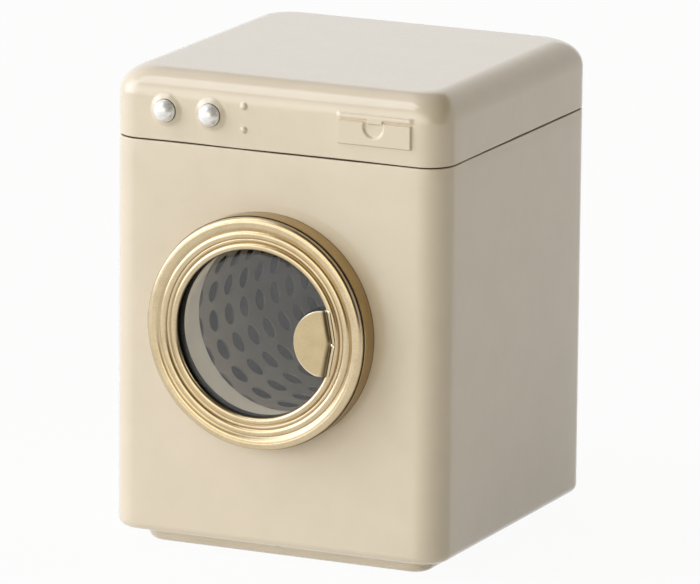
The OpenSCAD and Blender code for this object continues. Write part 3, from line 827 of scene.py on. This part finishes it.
# handle: a half-moon grip whose straight side bends down to a narrow strip along the ring's inner edge
gripSet = {
    "radius": 8.35,
    "foldX": 19.05,
    "drop": 0.4,
    "thick": 0.6,
    "crown": 0.22,
    "step": 0.2,
    "bendFrom": 18.9,
    "stripIn": 21.2,
    "stripOut": 22.1,
    "lean": 0.19,
    "stripLip": 0.14,
    # depth of the bend's dip, how far it lies before the strip, and its width
    "dip": (0.6, 0.5, 0.45),
    # height, width and depth of the small slit in the strip
    "slit": (-0.35, 0.14, 0.25),
    "cutTop": 8.1,
    "cutLow": -8.55,
    "steps": (100, 60),
    "pale": (208, 189, 152),
    "deep": (186, 166, 127),
    # painted shade along the bend and both edges of the strip; painted highlights along the grip's round
    # edge and on the strip
    "paintedShade": (("strip", 20.5, 1.1, 0.85), ("strip", 21.2, 0.28, 1.0), ("strip", 22.15, 0.3, 1.0)),
    "glints": (("grip", 8.35, 0.55, 0.8), ("strip", 21.8, 0.25, 0.2)),
}


def doorHandle():
    # rows along the straight side; each row runs from the round edge, foldX less the root of radius squared
    # less height squared, through the bend's dip to a narrow strip on the ring's inner bead; the strip's
    # edges lean back by lean times the height from the middle
    s = gripSet
    rowCount, columnCount = s["steps"]
    share = 0.5 - 0.5 * np.cos(np.linspace(0, np.pi, rowCount))[:, None]
    z = s["cutLow"] + (s["cutTop"] - s["cutLow"]) * share
    left = s["foldX"] - np.sqrt(np.maximum(s["radius"] ** 2 - (z + s["drop"]) ** 2, 0))
    back = s["lean"] * np.hypot(z, 0.4)
    right, bendTo = s["stripOut"] - back, s["stripIn"] - back
    t = 1 - (1 - np.linspace(0, 1, columnCount)[None, :]) ** 1.5
    x = left + (right - left) * t

    # how far the sheet lies below the grip's highest line
    bendFrom = np.minimum(s["bendFrom"], bendTo - 0.7)
    down = s["step"] * smooth((x - bendFrom) / (bendTo - bendFrom))
    deep, before, wide = s["dip"]
    down = down + deep * np.exp(-(((x - bendTo + before) / wide) ** 2))
    down = down - s["stripLip"] * smooth((x - right + 0.35) / 0.3)
    slitZ, slitW, slitDeep = s["slit"]
    down = down + slitDeep * np.exp(-((z - slitZ) / slitW) ** 2) * smooth((x - bendTo) / 0.3)
    down = down + s["crown"] * np.clip((s["foldX"] - x) / s["radius"], 0, 1) ** 2

    # both faces, which meet in a rounded edge
    edge = s["thick"] / 2
    fromEdge = np.minimum(np.minimum(x - left, right - x), np.minimum(s["cutTop"] - z, z - s["cutLow"]))
    bevel = edge - np.sqrt(np.clip(edge**2 - np.clip(edge - fromEdge, 0, edge) ** 2, 0, None))
    front = nodeBox("door_handle")[0][1]
    yFront = front + down + bevel
    yBack = front + s["thick"] + down - bevel
    points = np.stack([
        doorX + np.concatenate([x, x[:, ::-1]], 1),
        np.concatenate([yFront, yBack[:, ::-1]], 1),
        doorZ + z + np.zeros((1, 2 * columnCount)),
    ], -1)
    middle = points.mean(1, keepdims=True) + 0 * points
    points = np.concatenate([middle[:1], points, middle[-1:]])
    faces = gridFaces(points.shape[0], points.shape[1], False, True)
    finish = goldLacquer("handleGold", s["pale"], s["deep"], s["paintedShade"], s["glints"])
    return makePiece("doorHandle", "door_handle", "door", "gold_lacquer", points, faces, 42, finish)


# ball in the grip's bend, coloured nearly white as a painted highlight
ballSet = {"radius": 0.45, "pale": (255, 246, 222), "deep": (246, 232, 200), "steps": (14, 24)}


def handleRivet():
    # half a circle turned about y
    s = ballSet
    low, high = nodeBox("handle_rivet")
    profile = arc(0, 0, s["radius"], -89, 89, s["steps"][0])
    middle = (low + high) / 2
    points = lathe(profile, s["steps"][1], (middle[0], low[1] + s["radius"], middle[2]))
    faces = gridFaces(*s["steps"], False, True)
    finish = goldLacquer("ballHighlightGold", s["pale"], s["deep"])
    return makePiece("handleRivet", "handle_rivet", "door", "gold_lacquer", points, faces, 60, finish)


doorRing()
doorCollar()
mouthSleeve()
doorWindow()
doorHandle()
handleRivet()
print("porthole ready")

# knobs: domed caps with a turned-under rim
# the thin dark ring under each dome's rim is painted shade
knobSet = {"rimH": 0.32, "shadeRingOut": 0.08, "shadeRingH": 0.14, "stemR": 0.9, "gap": 0.05, "steps": (30, 72)}
knobShadow = bareTin("knobShadow", (70, 62, 50), (46, 40, 32), 0.5, 0.3)


def knob(name, node, body):
    # turned profile of (radius, height): a shallow dome, which is part of a ball of radius
    # (r ** 2 + rise ** 2) / (2 * rise), on a thin ring painted dark as shade under the dome, and a stem
    s = knobSet
    low, high = nodeBox(node)
    r, middle = (high[0] - low[0]) / 2, (low + high) / 2
    seat = frontY - coverSet["bossH"] - s["gap"]
    height = seat - low[1]
    rise = height - s["rimH"]
    ball = (r * r + rise**2) / (2 * rise)
    domeSteps, turns = s["steps"]
    shadeRingR, stemEnd = r + s["shadeRingOut"], seat - high[1]
    profile = np.concatenate([
        arc(0, height - ball, ball, 89.8, 90 - math.degrees(math.asin(r / ball)), domeSteps),
        [[r - 0.04, s["rimH"] * 0.6], [r - 0.12, s["shadeRingH"]], [shadeRingR, s["shadeRingH"]], [shadeRingR, 0.0]],
        [[s["stemR"], 0.0], [s["stemR"], stemEnd], [poleR, stemEnd]],
    ])
    points = lathe(profile, turns, (middle[0], seat, middle[2]))
    faces = gridFaces(len(profile), turns, False, True)
    # the dome's turned-under rim and the ring under it take the dark finish: painted shade under the dome
    row = np.arange(len(profile) - 1)
    dark = np.repeat((row >= domeSteps - 1) & (row < domeSteps + 3), turns)
    return makePiece(name, node, body, "chrome", points, faces, 35, second=(knobShadow, dark))


knob("knobLeft", "knob_left", "left_knob")
knob("knobRight", "knob_right", "right_knob")
print("knobs ready")

# drum wall: one tile with a hole, repeated round and along the drum
drumSet = {"holeR": 2.75, "around": 20, "turn": 7.0, "pitch": 8.7, "firstHole": 4.9, "lastHole": 3.5,
           "innerR": 23.5, "wall": 0.5, "holeSteps": 24, "rings": (0.0, 0.4, 1.0)}


def drumWall():
    # a tile is rings of points, holeR * (1 - t) + reach * t, from its hole's circle out to its square edge;
    # across the tile becomes an angle round the drum, and plain hoops close the drum's two ends
    s = drumSet
    inR, outR = s["innerR"], s["innerR"] + s["wall"]
    length = drumHigh[1] - drumLow[1]
    tileAngle = 2 * np.pi / s["around"]
    columns = int((length - s["lastHole"] - s["firstHole"]) / s["pitch"]) + 1
    halfU, halfV = inR * tileAngle / 2, s["pitch"] / 2
    a = 2 * np.pi * np.arange(s["holeSteps"]) / s["holeSteps"]
    reach = 1 / np.maximum(np.abs(np.cos(a)) / halfU, np.abs(np.sin(a)) / halfV)
    corner = math.atan2(halfV, halfU)
    for c in (corner, math.pi - corner, math.pi + corner, 2 * math.pi - corner):
        k = int(np.argmin(np.abs(a - c)))
        a[k], reach[k] = c, math.hypot(halfU, halfV)
    t = np.array(s["rings"])[:, None]
    r = s["holeR"] * (1 - t) + reach[None, :] * t
    u, v = r * np.cos(a)[None, :] / inR, r * np.sin(a)[None, :]

    # all tiles at once, as radius, angle and place along the drum, outside and inside
    rowIndex, columnIndex = np.meshgrid(np.arange(s["around"]), np.arange(columns), indexing="ij")
    tileTurn = np.radians(s["turn"]) + rowIndex.ravel() * tileAngle
    tileAt = s["firstHole"] + columnIndex.ravel() * s["pitch"]
    angle = tileTurn[:, None, None] + u[None]
    y = tileAt[:, None, None] + v[None]
    outer, inner = [np.stack([radius + 0 * angle, angle, y], -1) for radius in (outR, inR)]
    tiles = np.concatenate([outer[:, ::-1], inner], 1)
    count = tiles.shape[1] * tiles.shape[2]
    one = gridFaces(tiles.shape[1], tiles.shape[2], wrapColumns=True)
    faces = [(one[None] + (np.arange(len(tiles)) * count)[:, None, None]).reshape(-1, 4)]
    points = [tiles.reshape(-1, 3)]

    # each hoop is a square section round the drum, left open on the side that meets the tiles
    edgeU = np.unique(np.round(u[-1][np.abs(v[-1] - halfV) < 1e-6], 9))
    rowTurn = np.radians(s["turn"]) + np.arange(s["around"]) * tileAngle
    hoopAngle = (rowTurn[:, None] + edgeU[None, :-1]).ravel()
    tilesEnd = s["firstHole"] + (columns - 0.5) * s["pitch"]
    for low, high, openSide in ((0.0, s["firstHole"] - halfV, 1), (tilesEnd, length, 3)):
        section = ((inR, low), (inR, high), (outR, high), (outR, low))
        flat = 0 * hoopAngle
        hoop = np.stack([np.stack([radius + flat, hoopAngle, at + flat], -1) for radius, at in section])
        band = gridFaces(4, len(hoopAngle), True, True)
        band = band[(np.arange(len(band)) // len(hoopAngle)) != openSide]
        faces.append(band + sum(len(some) for some in points))
        points.append(hoop.reshape(-1, 3))
    radius, angle, y = np.concatenate(points).T
    points = np.stack([doorX + radius * np.cos(angle), drumLow[1] + y, doorZ - radius * np.sin(angle)], -1)
    return makePiece("drumWall", "drum_wall", "drum", "drum_steel", points, np.concatenate(faces), 50)


drumWall()
print("drum ready")

# finishes of the pieces that stay as they are in the frame
slotOf = {part["node"]: part["material_slot"] for part in frame["record"]["subparts"]}
for node, piece in frame["nodes"].items():
    for materialSlot in piece.material_slots:
        materialSlot.material = finishes[slotOf[node]]

# floor, studio and lamps
stageSet = {
    "floorTone": (236, 235, 232),
    "floorHalf": 3,
    "floorSeenWhite": 0.95,
    # soft lights of the room: where each comes from, its colour and strength, and the cosine of its edge
    "lights": (
        ((0.0, -0.985, 0.174), (2.17, 2.05, 1.75), 0.76),
        ((-0.853, -0.492, 0.174), (3.35, 3.5, 4.0), 0.76),
        ((0.492, 0.853, 0.174), (0.8, 0.56, 0.08), 0.76),
        ((-0.683, 0.183, 0.707), (1.0, 0.92, 0.86), 0.62),
    ),
    # heights between which the white wall behind ends, and how far back it starts
    "wallTop": (0.45, 0.65),
    "wallFront": (0.0, 0.3),
    # name, place, point that it faces, width and height in metres, power and colour
    "lamps": (
        ("softbox", (-0.53, -0.52, 1.11), (0, 0, 0.06), (0.50, 0.60), 2.25, (0.94, 1.0, 1.04)),
        ("drumFill", (0.008, -0.041, 0.067), (-0.010, -0.030, 0.038), (0.012, 0.012), 0.005,
         (1.0, 0.94, 0.84)),
    ),
}
white = (1.0, 1.0, 1.0, 1.0)


def rayKinds(g):
    # 1 for the rays of the camera, of mirror images and of views through glass, else 0
    kinds = ("Camera", "Glossy", "Transmission")
    return [g.node("ShaderNodeLightPath", out=f"Is {kind} Ray") for kind in kinds]


def makeFloor():
    # a pale floor that the camera sees lifted towards white, so that only the object's shadow shows on it
    s = stageSet
    f = Finish("floor", Roughness=0.9)
    f.shader.inputs["Base Color"].default_value = srgb(*s["floorTone"])
    glow = f.node("ShaderNodeEmission", None, {"Strength": 1.0})
    camera, mirrored, through = rayKinds(f)
    seen = camera.larger(through).larger(mirrored) * s["floorSeenWhite"]
    plain = Wire(f.tree, f.shader.outputs[0])
    f.join(f.node("ShaderNodeMixShader", None, {0: seen, 1: plain, 2: glow}), "Material Output", "Surface")
    corners = np.array([(-1, -1, 0), (1, -1, 0), (1, 1, 0), (-1, 1, 0)]) * s["floorHalf"]
    mesh = bpy.data.meshes.new("floor")
    mesh.from_pydata(corners.tolist(), [], [(0, 1, 2, 3)])
    mesh.materials.append(f.material)
    floor = bpy.data.objects.new("floor", mesh)
    bpy.context.scene.collection.objects.link(floor)


def makeWorld():
    # a room that is dark but for soft lights, each round a direction; seen and mirrored, its back is white
    s = stageSet
    world = bpy.data.worlds.new("studio")
    world.use_nodes = True
    g = Graph(world.node_tree)
    direction = g.node("ShaderNodeTexCoord", out="Generated")
    room = (0.0, 0.0, 0.0)
    for towards, colour, edge in s["lights"]:
        near = g.vector("DOT_PRODUCT", {0: direction, 1: towards}, "Value")
        light = g.vector("SCALE", {0: colour, "Scale": g.step(near, edge, 1.0)})
        room = g.vector("ADD", {0: light, 1: room})
    back, up = g.split(direction, "Y"), g.split(direction, "Z")
    wall = g.step(up, *s["wallTop"], 1.0, 0.0) * g.step(back, *s["wallFront"])
    camera, mirrored, through = rayKinds(g)
    shown = camera.larger(through).larger(mirrored * wall)
    g.join(g.blend(shown, room, white), "Background", "Color")
    bpy.context.scene.world = world


def makeLamps():
    for name, place, aim, size, power, tint in stageSet["lamps"]:
        data = bpy.data.lights.new(name, "AREA")
        data.shape = "RECTANGLE"
        data.size, data.size_y = size
        data.energy = power
        data.color = tint
        lamp = bpy.data.objects.new(name, data)
        bpy.context.scene.collection.objects.link(lamp)
        lamp.location = place
        lamp.rotation_mode = "QUATERNION"
        lamp.rotation_quaternion = (Vector(aim) - Vector(place)).to_track_quat("-Z", "Y")
        lamp.visible_camera = False


makeFloor()
makeWorld()
makeLamps()
bpy.context.scene.view_settings.view_transform = "Standard"
print("stage ready")
